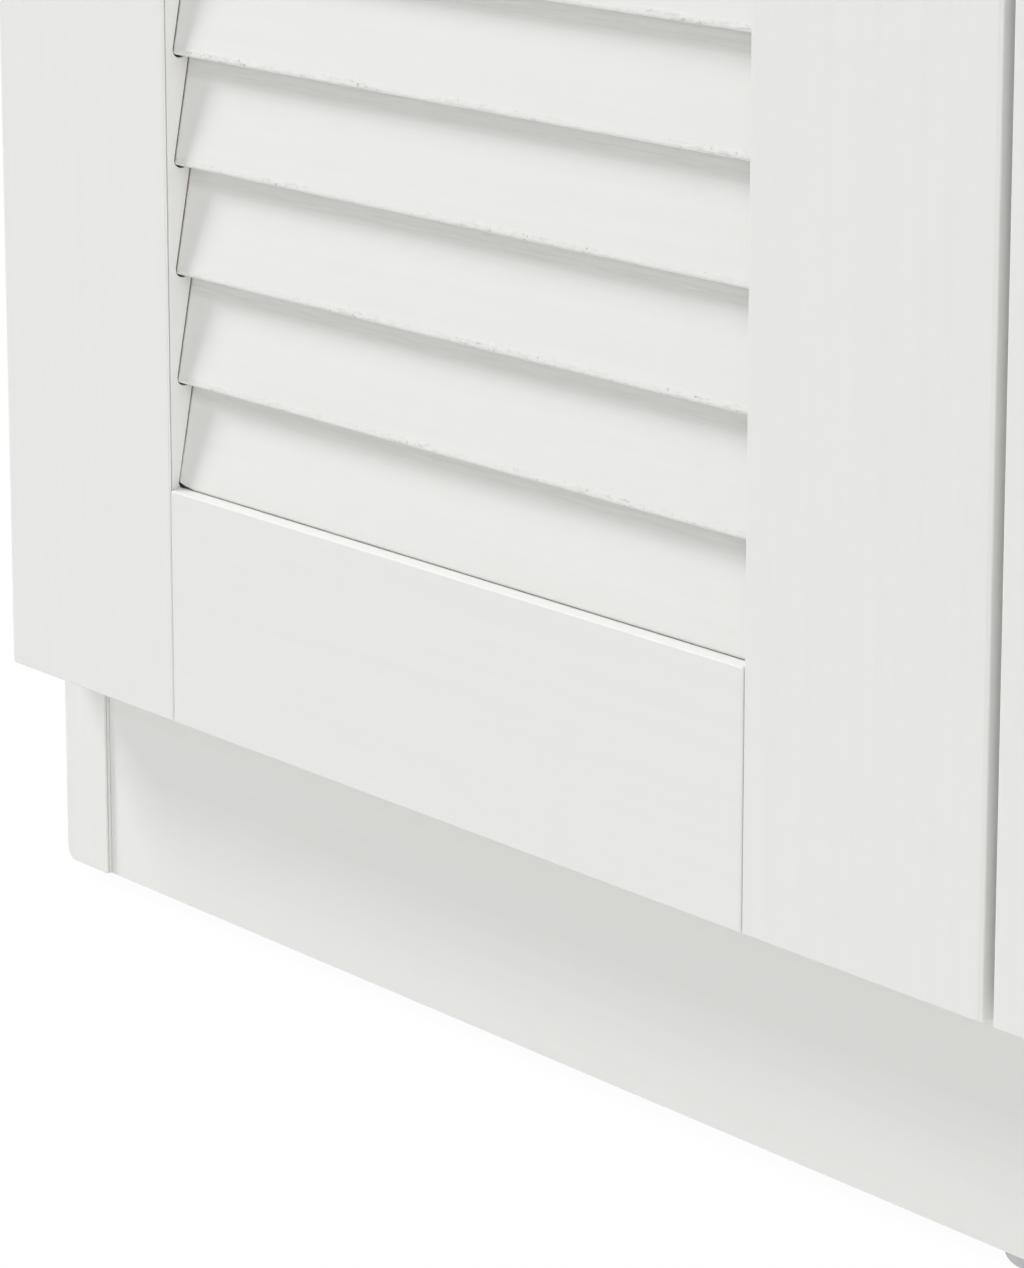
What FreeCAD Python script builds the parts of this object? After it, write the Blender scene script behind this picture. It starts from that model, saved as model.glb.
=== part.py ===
import FreeCAD, Part
import math
import os

# Louvred cabinet with two overlay doors, in millimetres.
# +Z is up and the doors face -Y. The origin is on the floor, under the middle of the whole cabinet.

# Carcass boards
carcass_width = 800.0
carcass_depth = 380.0
side_thickness = 20.0
board_thickness = 18.0
top_thickness = 22.0
top_side_overhang = 12.0
top_front_overhang = 12.0
top_edge_radius = 4.0
foot_radius = 4.0
board_arris = 0.7
lipping_thickness = 0.6
lipping_line_width = 0.35
lipping_line_depth = 0.4

# Plinth under the doors
plinth_reveal = 60.2
plinth_recess = 1.5
bottom_lift = 3.0

# Back panel and the screws that hold it
back_thickness = 4.0
back_rabbet_depth = 5.6
back_rabbet_width = 10.0
back_groove_depth = 6.0
back_edge_gap = 0.3
back_screw_radius = 1.5
back_screw_length = 13.0
back_screw_head_radius = 3.0
back_screw_head_height = 1.3
back_side_screw_count = 5
back_bottom_screw_count = 4

# Shelves on pins, with spare holes for other heights
shelf_names = ("lower_shelf", "upper_shelf")
shelf_thickness = 18.0
shelf_setback = 22.0
shelf_side_gap = 1.0
shelf_back_gap = 1.0
pin_radius = 2.5
pin_hole_depth = 10.0
pin_hole_gap = 0.05
pin_rest_length = 8.0
pin_rest_width = 6.0
pin_rest_height = 3.0
pin_inset = 50.0
pin_hole_pitch = 32.0
pin_spare_holes = 2

# Dowels and cam fittings that join the boards
dowel_radius = 4.0
dowel_length = 28.0
dowel_seat = 10.0
dowel_gap = 0.05
joint_inset = 40.0
fitting_spacing = 32.0
cam_radius = 7.5
cam_depth = 13.0
cam_distance = 34.0
cam_recess = 0.3
cam_slot_width = 1.6
cam_slot_depth = 2.0
bolt_radius = 3.0
bolt_thread = 11.0
bolt_gap = 0.1

# Floor glides
glide_height = 4.0
glide_radius = 9.0
glide_flat_radius = 5.0
glide_nail_radius = 1.2
glide_nail_length = 16.0
glide_nail_gap = 0.02
plinth_glide_offset = 10.0
side_glide_inset = 60.0

# Door frames
door_thickness = 16.0
door_inset = 2.0
door_gap = 3.6
door_top_gap = 3.0
stile_width = 80.5
rail_height = 63.2
outer_arris = 1.0
joint_arris = 0.5
joint_line_width = 0.45
joint_line_depth = 1.4
stile_line_setback = 0.55
stile_line_width = 0.35
stile_line_depth = 0.5
end_arris = 0.5
sill_bevel_height = 0.6
sill_bevel_depth = 2.4
sill_ease = 0.4
frame_dowel_length = 50.0
frame_dowel_inset = 16.0
frame_dowel_play = 0.5

# Louvre slats and the grooves that hold their ends
slat_count = 27
slat_pitch = 28.7
lowest_slat_lift = 0.8
slat_width = 34.0
slat_thickness = 4.0
slat_arris = 0.8
slat_lean_deg = 10.2
slat_setback = 3.0
slat_sill_gap = 0.13
slat_head_gap = 1.0
slat_tongue = 6.0
groove_play = 0.2
groove_end_play = 0.75
groove_depth = 6.5
groove_runout = 2.2

# Butt hinges with their barrels outside the side panels
hinge_length = 50.0
hinge_inset = 110.0
leaf_thickness = 0.9
leaf_gap = 0.3
leaf_reach = 16.0
knuckle_radius = 2.6
knuckle_gap = 0.3
hinge_pin_radius = 1.5
hinge_pin_gap = 0.05
hinge_pin_head_radius = 2.2
hinge_pin_head_height = 0.8
hinge_screw_radius = 1.4
hinge_screw_length = 14.0
hinge_screw_head_radius = 2.7
hinge_screw_head_height = 1.6
hinge_screw_spacing = 28.0
hinge_screw_reach = 8.5

# Turned knobs
knob_reach = 28.0
knob_radius = 15.0
knob_rim_height = 19.0
knob_neck_radius = 6.5
knob_neck_height = 9.0
knob_foot_radius = 9.0
knob_foot_height = 2.5
knob_rise = 490.0
knob_screw_radius = 2.0
knob_screw_grip = 12.0
knob_screw_gap = 0.05
knob_screw_end_gap = 0.5
knob_screw_head_radius = 4.0
knob_screw_head_height = 1.6

# Magnetic catches under the top and their strike plates
catch_offset = 62.0
catch_body_length = 30.0
catch_ear_length = 54.0
catch_ear_thickness = 3.0
catch_depth = 14.0
catch_height = 13.0
catch_reach = 0.8
catch_arris = 0.8
magnet_length = 24.0
magnet_height = 7.0
magnet_depth = 9.0
magnet_recess = 0.3
strike_length = 32.0
strike_height = 9.0
strike_thickness = 0.9
small_screw_radius = 1.3
small_screw_length = 11.0
small_screw_head_radius = 2.4
small_screw_head_height = 1.2

# Soft bumpers behind the lower corners of the doors
bumper_radius = 4.0
bumper_height = 1.7
bumper_inset = 40.0

# Shared values for cuts, screw recesses and finding edges
overrun = 5.0
recess_width_share = 0.22
recess_reach_share = 0.62
recess_depth_share = 0.6
knob_swell_share = 0.16
touch = 0.001

# Places worked out from the sizes above
vector = FreeCAD.Vector
along_x = vector(1, 0, 0)
along_y = vector(0, 1, 0)
along_z = vector(0, 0, 1)
lean = math.radians(slat_lean_deg)
half_width = carcass_width / 2
inner_half = half_width - side_thickness
door_back_gap = 2 * leaf_thickness + leaf_gap
whole_depth = carcass_depth + door_back_gap + door_thickness + knob_reach
back_y = whole_depth / 2
front_y = back_y - carcass_depth
rabbet_y = back_y - back_rabbet_depth
door_back_y = front_y - door_back_gap
door_front_y = door_back_y - door_thickness
door_bottom_z = glide_height + plinth_reveal
bottom_z = door_bottom_z + bottom_lift
floor_z = bottom_z + board_thickness
slat_rise = slat_width * math.cos(lean)
slat_stack = (slat_count - 1) * slat_pitch - lowest_slat_lift + slat_rise
louvre_height = slat_sill_gap + slat_stack + slat_head_gap
door_top_z = door_bottom_z + 2 * rail_height + louvre_height
top_z = door_top_z + door_top_gap
door_left_x = door_inset - half_width
door_right_x = -door_gap / 2
opening_left_x = door_left_x + stile_width
opening_right_x = door_right_x - stile_width
hinge_x = -half_width - knuckle_gap - knuckle_radius
hinge_y = (front_y + door_back_y) / 2
hinge_places = {"lower": door_bottom_z + hinge_inset, "upper": door_top_z - hinge_inset}
catch_x = door_right_x - catch_offset
knob_x = door_right_x - stile_width / 2
knob_z = door_bottom_z + knob_rise
fitting_rows = (front_y + joint_inset, rabbet_y - joint_inset)
dowel_rows = (front_y + joint_inset + fitting_spacing, rabbet_y - joint_inset - fitting_spacing)


# Basic shapes

def block(x_low, x_high, y_low, y_high, z_low, z_high):
    corner = vector(x_low, y_low, z_low)
    return Part.makeBox(x_high - x_low, y_high - y_low, z_high - z_low, corner)


def rod(start, direction, radius, length):
    return Part.makeCylinder(radius, length, start, direction)


def aimed(shape, start, direction):
    placed = shape.copy()
    placed.Placement = FreeCAD.Placement(start, FreeCAD.Rotation(along_z, direction))
    return placed


def mirrored(shape):
    return shape.mirror(vector(), along_x)


def spread(low, high, count):
    step = (high - low) / (count + 1)
    return [low + step * (place + 1) for place in range(count)]


def lies_at(point, wanted):
    return all(want is None or abs(have - want) < touch for have, want in zip(point, wanted))


def edges_on(shape, x=None, y=None, z=None):
    found = []
    for edge in shape.Edges:
        if all(lies_at(vertex.Point, (x, y, z)) for vertex in edge.Vertexes):
            found.append(edge)
    return found


def without(shape, cutters):
    return shape.cut(Part.makeCompound(list(cutters)))


# Fasteners, made pointing along +Z from their seat

def cross_recess(radius, depth):
    width = radius * recess_width_share
    reach = radius * recess_reach_share
    bar = block(-reach, reach, -width, width, 0, depth)
    return bar.fuse(block(-width, width, -reach, reach, 0, depth))


def countersunk_screw(radius, length, head_radius, head_height, recess):
    head = Part.makeCone(head_radius, radius, head_height)
    screw = head.fuse(rod(vector(), along_z, radius, length))
    if recess:
        screw = screw.cut(cross_recess(head_radius, head_height * recess_depth_share))
    return screw


def pan_screw(radius, length, head_radius, head_height):
    head = rod(vector(0, 0, -head_height), along_z, head_radius, head_height)
    rim = edges_on(head, z=-head_height)
    head = head.makeFillet(head_height / 2, rim)
    screw = head.fuse(rod(vector(), along_z, radius, length))
    cut = cross_recess(head_radius, head_height * recess_depth_share)
    cut.translate(vector(0, 0, -head_height))
    return screw.cut(cut)


def hinge_screw(recess):
    return countersunk_screw(hinge_screw_radius, hinge_screw_length, hinge_screw_head_radius,
                             hinge_screw_head_height, recess)


def small_screw():
    return pan_screw(small_screw_radius, small_screw_length, small_screw_head_radius,
                     small_screw_head_height)


def back_screw():
    return pan_screw(back_screw_radius, back_screw_length, back_screw_head_radius, back_screw_head_height)


# Where the carcass fasteners sit, on the left half

def top_dowels(gap=0):
    x = -half_width + side_thickness / 2
    start_z = top_z + dowel_seat - dowel_length - gap
    length = dowel_length + 2 * gap
    return [rod(vector(x, y, start_z), along_z, dowel_radius + gap, length) for y in dowel_rows]


def side_dowel(y, z, gap=0):
    start = vector(-inner_half - dowel_seat - gap, y, z)
    return rod(start, along_x, dowel_radius + gap, dowel_length + 2 * gap)


def bottom_dowels(gap=0):
    return [side_dowel(y, bottom_z + board_thickness / 2, gap) for y in dowel_rows]


def plinth_dowels(gap=0):
    y = front_y + plinth_recess + board_thickness / 2
    return [side_dowel(y, z, gap) for z in spread(glide_height, bottom_z, 2)]


def left_dowels(gap=0):
    return top_dowels(gap) + bottom_dowels(gap) + plinth_dowels(gap)


def bolt_seats():
    seats = []
    for y in fitting_rows:
        seats.append((vector(-half_width + side_thickness / 2, y, top_z), -along_z))
        seats.append((vector(-inner_half, y, bottom_z + board_thickness / 2), along_x))
    return seats


def cam_seats():
    seats = []
    for y in fitting_rows:
        seats.append((vector(-inner_half, y, top_z - cam_distance), -along_x))
        seats.append((vector(-inner_half + cam_distance, y, bottom_z), along_z))
    return seats


def left_bolts(gap=0):
    radius = bolt_radius + gap
    length = bolt_thread + cam_distance + 2 * gap
    return [rod(seat - way * (bolt_thread + gap), way, radius, length) for seat, way in bolt_seats()]


def left_cam_holes():
    radius = cam_radius + bolt_gap
    length = cam_depth + overrun
    return [rod(seat - way * overrun, way, radius, length) for seat, way in cam_seats()]


def left_cams():
    slot = block(-cam_radius, cam_radius, -cam_slot_width / 2, cam_slot_width / 2, 0, cam_slot_depth)
    cam = rod(vector(), along_z, cam_radius, cam_depth - cam_recess).cut(slot)
    placed = [aimed(cam, seat + way * cam_recess, way) for seat, way in cam_seats()]
    return [without(one, left_bolts(bolt_gap)) for one in placed]


# Shelf pins and their holes, on the left half

def shelf_levels():
    return spread(floor_z, top_z, len(shelf_names))


def pin_rows():
    return (front_y + shelf_setback + pin_inset, rabbet_y - pin_inset)


def pin_holes():
    holes = []
    for level in shelf_levels():
        for step in range(-pin_spare_holes, pin_spare_holes + 1):
            for y in pin_rows():
                start = vector(-inner_half - pin_hole_depth, y, level + step * pin_hole_pitch)
                holes.append(rod(start, along_x, pin_radius + pin_hole_gap, pin_hole_depth + overrun))
    return holes


def left_pins():
    pins = []
    for level in shelf_levels():
        for y in pin_rows():
            start = vector(-inner_half - pin_hole_depth, y, level)
            shank = rod(start, along_x, pin_radius, pin_hole_depth)
            x_high = -inner_half + pin_rest_length
            rest = block(-inner_half, x_high, y - pin_rest_width / 2, y + pin_rest_width / 2,
                         level - pin_rest_height, level)
            pins.append(shank.fuse(rest).removeSplitter())
    return pins


# Carcass boards

def side_panel():
    panel = block(-half_width, -inner_half, front_y, back_y, glide_height, top_z)
    panel = panel.makeFillet(foot_radius, edges_on(panel, x=-half_width, z=glide_height))
    line_y = front_y + lipping_thickness
    line = block(-inner_half - lipping_line_depth, -inner_half + overrun,
                 line_y, line_y + lipping_line_width, glide_height - overrun, top_z + overrun)
    rabbet = block(-inner_half - back_rabbet_width, -inner_half + overrun, rabbet_y, back_y + overrun,
                   glide_height - overrun, top_z + overrun)
    panel = without(panel, [line, rabbet])
    holes = left_dowels(dowel_gap) + left_bolts(bolt_gap) + left_cam_holes() + pin_holes()
    holes += frame_leaf_screws(recess=False) + side_back_screws() + side_glide_nails(glide_nail_gap)
    return without(panel, holes)


def top_panel():
    half = half_width + top_side_overhang
    front = door_front_y - top_front_overhang
    panel = block(-half, half, front, back_y, top_z, top_z + top_thickness)
    corners = edges_on(panel, x=-half, y=front) + edges_on(panel, x=half, y=front)
    panel = panel.makeFillet(top_edge_radius, corners)
    rims = edges_on(panel, y=front, z=top_z) + edges_on(panel, y=front, z=top_z + top_thickness)
    panel = panel.makeFillet(top_edge_radius / 2, rims)
    groove_half = inner_half + back_rabbet_width
    groove = block(-groove_half, groove_half, rabbet_y, rabbet_y + back_thickness + back_edge_gap,
                   top_z - overrun, top_z + back_groove_depth)
    holes = top_dowels(dowel_gap) + left_bolts(bolt_gap) + catch_screws()
    return without(panel, [groove] + holes + [mirrored(hole) for hole in holes])


def bottom_panel():
    panel = block(-inner_half, inner_half, front_y, rabbet_y, bottom_z, floor_z)
    panel = panel.makeFillet(board_arris, edges_on(panel, y=front_y, z=floor_z))
    holes = bottom_dowels(dowel_gap) + left_bolts(bolt_gap) + left_cam_holes()
    return without(panel, holes + [mirrored(hole) for hole in holes] + bottom_back_screws())


def plinth_board():
    y_low = front_y + plinth_recess
    board = block(-inner_half, inner_half, y_low, y_low + board_thickness, glide_height, bottom_z)
    ends = edges_on(board, x=-inner_half, y=y_low) + edges_on(board, x=inner_half, y=y_low)
    board = board.makeFillet(board_arris, ends)
    holes = plinth_dowels(dowel_gap)
    return without(board, holes + [mirrored(hole) for hole in holes] + [plinth_glide_nail(glide_nail_gap)])


def back_panel():
    half = inner_half + back_rabbet_width - back_edge_gap
    high = top_z + back_groove_depth - back_edge_gap
    panel = block(-half, half, rabbet_y, rabbet_y + back_thickness, bottom_z, high)
    sides = side_back_screws()
    return without(panel, sides + [mirrored(screw) for screw in sides] + bottom_back_screws())


def shelf(level):
    half = inner_half - shelf_side_gap
    y_low = front_y + shelf_setback
    board = block(-half, half, y_low, rabbet_y - shelf_back_gap, level, level + shelf_thickness)
    rims = edges_on(board, y=y_low, z=level) + edges_on(board, y=y_low, z=level + shelf_thickness)
    return board.makeFillet(board_arris, rims)


def side_back_screws():
    x = -inner_half - back_rabbet_width / 2
    seat_y = rabbet_y + back_thickness
    heights = spread(floor_z, top_z, back_side_screw_count)
    return [aimed(back_screw(), vector(x, seat_y, z), -along_y) for z in heights]


def bottom_back_screws():
    seat_y = rabbet_y + back_thickness
    z = bottom_z + board_thickness / 2
    places = spread(-inner_half, inner_half, back_bottom_screw_count)
    return [aimed(back_screw(), vector(x, seat_y, z), -along_y) for x in places]


# Floor glides

def glide_nail(x, y, gap=0):
    return rod(vector(x, y, glide_height), along_z, glide_nail_radius + gap, glide_nail_length + gap)


def glide(x, y):
    half_turn = math.pi / 4
    out = (glide_radius - glide_flat_radius) * math.sin(half_turn)
    rise = glide_height * (1 - math.cos(half_turn))
    flat_end = vector(glide_flat_radius, 0, 0)
    swell = vector(glide_flat_radius + out, 0, rise)
    rim = vector(glide_radius, 0, glide_height)
    seat = vector(0, 0, glide_height)
    outline = [Part.makeLine(vector(), flat_end), Part.Arc(flat_end, swell, rim).toShape(),
               Part.makeLine(rim, seat), Part.makeLine(seat, vector())]
    dome = Part.Face(Part.Wire(outline)).revolve(vector(), along_z, 360)
    dome.translate(vector(x, y, 0))
    return dome.fuse(glide_nail(x, y)).removeSplitter()


def side_glide_places():
    x = -half_width + side_thickness / 2
    return [(x, front_y + side_glide_inset), (x, back_y - side_glide_inset)]


def side_glide_nails(gap):
    return [glide_nail(x, y, gap) for x, y in side_glide_places()]


def plinth_glide_place():
    return -plinth_glide_offset, front_y + plinth_recess + board_thickness / 2


def plinth_glide_nail(gap):
    x, y = plinth_glide_place()
    return glide_nail(x, y, gap)


# Left hinges

def knuckle(z_low, z_high):
    return rod(vector(hinge_x, hinge_y, z_low), along_z, knuckle_radius, z_high - z_low)


def knuckle_room(z_low, z_high):
    start = vector(hinge_x, hinge_y, z_low - knuckle_gap)
    length = z_high - z_low + 2 * knuckle_gap
    return rod(start, along_z, knuckle_radius + knuckle_gap, length)


def knuckle_spans(middle):
    third = hinge_length / 3
    low = middle - hinge_length / 2
    return [(low + third * step, low + third * (step + 1)) for step in range(3)]


def leaf(middle, y_low, own, other, bore_gap):
    plate = block(hinge_x, -half_width + leaf_reach, y_low, y_low + leaf_thickness,
                  middle - hinge_length / 2, middle + hinge_length / 2)
    spans = knuckle_spans(middle)
    plate = without(plate, [knuckle_room(*spans[place]) for place in other])
    for place in own:
        plate = plate.fuse(knuckle(*spans[place]))
    start = vector(hinge_x, hinge_y, middle - hinge_length)
    return plate.cut(rod(start, along_z, hinge_pin_radius + bore_gap, 2 * hinge_length))


def frame_leaf(middle):
    y_low = front_y - leaf_thickness
    return without(leaf(middle, y_low, (0, 2), (1,), 0), frame_leaf_screws(recess=False))


def door_leaf(middle):
    trimmed = leaf(middle, door_back_y, (1,), (0, 2), hinge_pin_gap)
    return without(trimmed, door_leaf_screws(recess=False))


def hinge_pin(middle):
    low = middle - hinge_length / 2
    shaft = rod(vector(hinge_x, hinge_y, low), along_z, hinge_pin_radius, hinge_length)
    for start in (low - hinge_pin_head_height, low + hinge_length):
        head = rod(vector(hinge_x, hinge_y, start), along_z, hinge_pin_head_radius, hinge_pin_head_height)
        shaft = shaft.fuse(head)
    return shaft.removeSplitter()


def leaf_screws(seat_y, way, recess):
    screws = []
    for middle in hinge_places.values():
        for z in (middle - hinge_screw_spacing / 2, middle + hinge_screw_spacing / 2):
            seat = vector(-half_width + hinge_screw_reach, seat_y, z)
            screws.append(aimed(hinge_screw(recess), seat, way))
    return screws


def frame_leaf_screws(recess=True):
    return leaf_screws(front_y - leaf_thickness, along_y, recess)


def door_leaf_screws(recess=True):
    return leaf_screws(door_back_y + leaf_thickness, -along_y, recess)


# Left catch

def catch_block():
    y_low = front_y - catch_reach
    y_high = y_low + catch_depth
    body_half = catch_body_length / 2
    body = block(catch_x - body_half, catch_x + body_half, y_low, y_high, top_z - catch_height, top_z)
    body = body.makeFillet(catch_arris, edges_on(body, z=top_z - catch_height))
    ear_half = catch_ear_length / 2
    ears = block(catch_x - ear_half, catch_x + ear_half, y_low, y_high, top_z - catch_ear_thickness, top_z)
    return body.fuse(ears).removeSplitter()


def magnet_block(y_low, y_high):
    half = magnet_length / 2
    middle = top_z - (catch_height + catch_ear_thickness) / 2
    return block(catch_x - half, catch_x + half, y_low, y_high, middle - magnet_height / 2,
                 middle + magnet_height / 2)


def catch_magnet():
    y_low = front_y - catch_reach + magnet_recess
    return magnet_block(y_low, y_low + magnet_depth)


def catch_housing():
    y_low = front_y - catch_reach
    pocket = magnet_block(y_low - overrun, y_low + magnet_recess + magnet_depth)
    return without(catch_block(), [pocket] + catch_screws())


def catch_screws():
    reach = (catch_body_length + catch_ear_length) / 4
    y = front_y - catch_reach + catch_depth / 2
    seats = [vector(x, y, top_z - catch_ear_thickness) for x in (catch_x - reach, catch_x + reach)]
    return [aimed(small_screw(), seat, along_z) for seat in seats]


def strike_z():
    return door_top_z - strike_height / 2 - outer_arris


def strike_screws(recess=True):
    seats = [vector(x, door_back_y + strike_thickness, strike_z()) for x in
             (catch_x - strike_length / 4, catch_x + strike_length / 4)]
    screw = countersunk_screw(small_screw_radius, small_screw_length, small_screw_head_radius,
                              small_screw_head_height, recess)
    return [aimed(screw, seat, -along_y) for seat in seats]


def strike_plate():
    half = strike_length / 2
    z = strike_z()
    plate = block(catch_x - half, catch_x + half, door_back_y, door_back_y + strike_thickness,
                  z - strike_height / 2, z + strike_height / 2)
    return without(plate, strike_screws(recess=False))


def bumper():
    x = -bumper_inset
    z = bottom_z + board_thickness / 2
    pad = rod(vector(x, front_y, z), -along_y, bumper_radius, bumper_height)
    return pad.makeFillet(bumper_height / 2, edges_on(pad, y=front_y - bumper_height))


# Left door

def leaned(shape, step):
    placed = shape.copy()
    placed.rotate(vector(), along_x, -slat_lean_deg)
    low = door_bottom_z + rail_height + slat_sill_gap
    if step > 0:
        low += step * slat_pitch - lowest_slat_lift
    placed.translate(vector(0, door_front_y + slat_setback, low))
    return placed


def slats():
    x_low = opening_left_x - slat_tongue
    x_high = opening_right_x + slat_tongue
    slat = block(x_low, x_high, 0, slat_thickness, 0, slat_width)
    rims = edges_on(slat, y=0, z=0) + edges_on(slat, y=slat_thickness, z=0)
    rims += edges_on(slat, y=0, z=slat_width) + edges_on(slat, y=slat_thickness, z=slat_width)
    slat = slat.makeFillet(slat_arris, rims)
    return [leaned(slat, step) for step in range(slat_count)]


def slat_grooves(x_low):
    radius = slat_thickness / 2 + groove_play
    middle = slat_thickness / 2
    low = radius - groove_end_play
    high = slat_width - low
    length = groove_depth + groove_runout
    groove = block(x_low, x_low + length, middle - radius, middle + radius, low, high)
    for z in (low, high):
        groove = groove.fuse(rod(vector(x_low, middle, z), along_x, radius, length))
    groove = groove.removeSplitter()
    return [leaned(groove, step) for step in range(slat_count)]


def stile(outer_x, inner_x):
    x_low = min(outer_x, inner_x)
    x_high = max(outer_x, inner_x)
    board = block(x_low, x_high, door_front_y, door_back_y, door_bottom_z, door_top_z)
    board = board.makeFillet(outer_arris, edges_on(board, x=outer_x, y=door_front_y))
    board = board.makeFillet(joint_arris, edges_on(board, x=inner_x, y=door_front_y))
    ends = edges_on(board, y=door_front_y, z=door_bottom_z) + edges_on(board, y=door_front_y, z=door_top_z)
    line_y = door_front_y + stile_line_setback
    line = block(inner_x - stile_line_depth, inner_x + stile_line_depth, line_y, line_y + stile_line_width,
                 door_bottom_z - overrun, door_top_z + overrun)
    return without(board.makeFillet(end_arris, ends), [line])


def hinge_grooves():
    return slat_grooves(opening_left_x - groove_depth)


def hinge_stile():
    board = stile(door_left_x, opening_left_x)
    holes = hinge_grooves() + frame_dowel_holes()
    return without(board, holes + door_leaf_screws(recess=False))


def meeting_stile():
    board = stile(door_right_x, opening_right_x)
    bolt = rod(vector(knob_x, door_front_y - overrun, knob_z), along_y, knob_screw_radius + knob_screw_gap,
               door_thickness + 2 * overrun)
    holes = slat_grooves(opening_right_x - groove_runout) + frame_dowel_holes()
    return without(board, holes + strike_screws(recess=False) + [bolt])


def sill_bevel(louvre_z, inward):
    x_low = opening_left_x - overrun
    y_low = door_front_y - sill_bevel_depth
    z_out = louvre_z - inward * sill_bevel_height
    corners = [vector(x_low, y_low, louvre_z + 2 * inward * sill_bevel_height),
               vector(x_low, door_front_y + 2 * sill_bevel_depth, z_out), vector(x_low, y_low, z_out)]
    wedge = Part.Face(Part.makePolygon(corners + corners[:1]))
    return wedge.extrude(vector(opening_right_x + overrun - x_low, 0, 0))


def joint_lines(z_low):
    lines = []
    for x_low in (opening_left_x - overrun, opening_right_x - joint_line_width):
        lines.append(block(x_low, x_low + overrun + joint_line_width, door_front_y - overrun,
                           door_front_y + joint_line_depth, z_low - overrun, z_low + rail_height + overrun))
    return lines


def slat_seat():
    room = block(opening_left_x - overrun, opening_right_x + overrun, -slat_sill_gap,
                 slat_thickness + slat_sill_gap, -slat_sill_gap, overrun)
    return leaned(room, 0)


def rail(z_low, outer_z, louvre_z, inward):
    board = block(opening_left_x, opening_right_x, door_front_y, door_back_y, z_low, z_low + rail_height)
    board = without(board, [sill_bevel(louvre_z, inward)] + joint_lines(z_low))
    board = board.makeFillet(end_arris, edges_on(board, y=door_front_y, z=outer_z))
    ease_z = louvre_z + inward * sill_bevel_height
    board = board.makeFillet(sill_ease, edges_on(board, y=door_front_y, z=ease_z))
    ends = edges_on(board, x=opening_left_x + joint_line_width, y=door_front_y)
    ends += edges_on(board, x=opening_right_x - joint_line_width, y=door_front_y)
    return without(board.makeFillet(joint_arris, ends), frame_dowel_holes())


def bottom_rail():
    board = rail(door_bottom_z, door_bottom_z, door_bottom_z + rail_height, -1)
    return without(board, [slat_seat()] + hinge_grooves()[:1])


def top_rail():
    return rail(door_top_z - rail_height, door_top_z, door_top_z - rail_height, 1)


def frame_dowels(gap=0, play=0):
    length = frame_dowel_length + 2 * play
    middle_y = (door_front_y + door_back_y) / 2
    dowels = []
    for z_low in (door_bottom_z, door_top_z - rail_height):
        for z in (z_low + frame_dowel_inset, z_low + rail_height - frame_dowel_inset):
            for x in (opening_left_x, opening_right_x):
                start = vector(x - length / 2, middle_y, z)
                dowels.append(rod(start, along_x, dowel_radius + gap, length))
    return dowels


def frame_dowel_holes():
    return frame_dowels(dowel_gap, frame_dowel_play)


def knob_outline():
    rise = knob_reach - knob_rim_height
    centre = (knob_reach ** 2 - knob_rim_height ** 2 - knob_radius ** 2) / (2 * rise)
    crown = knob_reach - centre
    half_turn = (math.pi / 2 + math.atan2(knob_rim_height - centre, knob_radius)) / 2
    tip = vector(0, 0, knob_reach)
    crown_mid = vector(crown * math.cos(half_turn), 0, centre + crown * math.sin(half_turn))
    rim = vector(knob_radius, 0, knob_rim_height)
    neck = vector(knob_neck_radius, 0, knob_neck_height)
    chord = rim - neck
    swell = (rim + neck) / 2 + vector(chord.z, 0, -chord.x) * knob_swell_share
    foot_top = vector(knob_foot_radius, 0, knob_foot_height)
    foot_low = vector(knob_foot_radius, 0, 0)
    hollow = (neck + foot_top) / 2 - vector(neck.z - foot_top.z, 0, foot_top.x - neck.x) * knob_swell_share
    return [Part.makeLine(vector(), foot_low), Part.makeLine(foot_low, foot_top),
            Part.Arc(foot_top, hollow, neck).toShape(), Part.Arc(neck, swell, rim).toShape(),
            Part.Arc(rim, crown_mid, tip).toShape(), Part.makeLine(tip, vector())]


def knob():
    turned = Part.Face(Part.Wire(knob_outline())).revolve(vector(), along_z, 360)
    bore = rod(vector(0, 0, -overrun), along_z, knob_screw_radius + knob_screw_gap,
               knob_screw_grip + overrun)
    return aimed(turned.cut(bore), vector(knob_x, door_front_y, knob_z), -along_y)


def knob_screw():
    length = door_thickness + knob_screw_grip - knob_screw_end_gap
    screw = pan_screw(knob_screw_radius, length, knob_screw_head_radius, knob_screw_head_height)
    return aimed(screw, vector(knob_x, door_back_y, knob_z), -along_y)


# Named pieces

def left_pieces():
    pieces = {
        "side_panel": [side_panel()],
        "catch_housing": [catch_housing()],
        "catch_magnet": [catch_magnet()],
        "frame_leaf_screws": frame_leaf_screws(),
        "door_hinge_stile": [hinge_stile()],
        "door_meeting_stile": [meeting_stile()],
        "door_top_rail": [top_rail()],
        "door_bottom_rail": [bottom_rail()],
        "door_slats": slats(),
        "door_dowels": frame_dowels(),
        "door_leaf_screws": door_leaf_screws(),
        "knob": [knob()],
        "knob_screw": [knob_screw()],
        "strike_plate": [strike_plate()],
        "strike_screws": strike_screws(),
    }
    for place, middle in hinge_places.items():
        pieces[place + "_frame_leaf"] = [frame_leaf(middle)]
        pieces[place + "_door_leaf"] = [door_leaf(middle)]
        pieces[place + "_hinge_pin"] = [hinge_pin(middle)]
    return pieces


def both_sides(solids):
    return solids + [mirrored(solid) for solid in solids]


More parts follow.
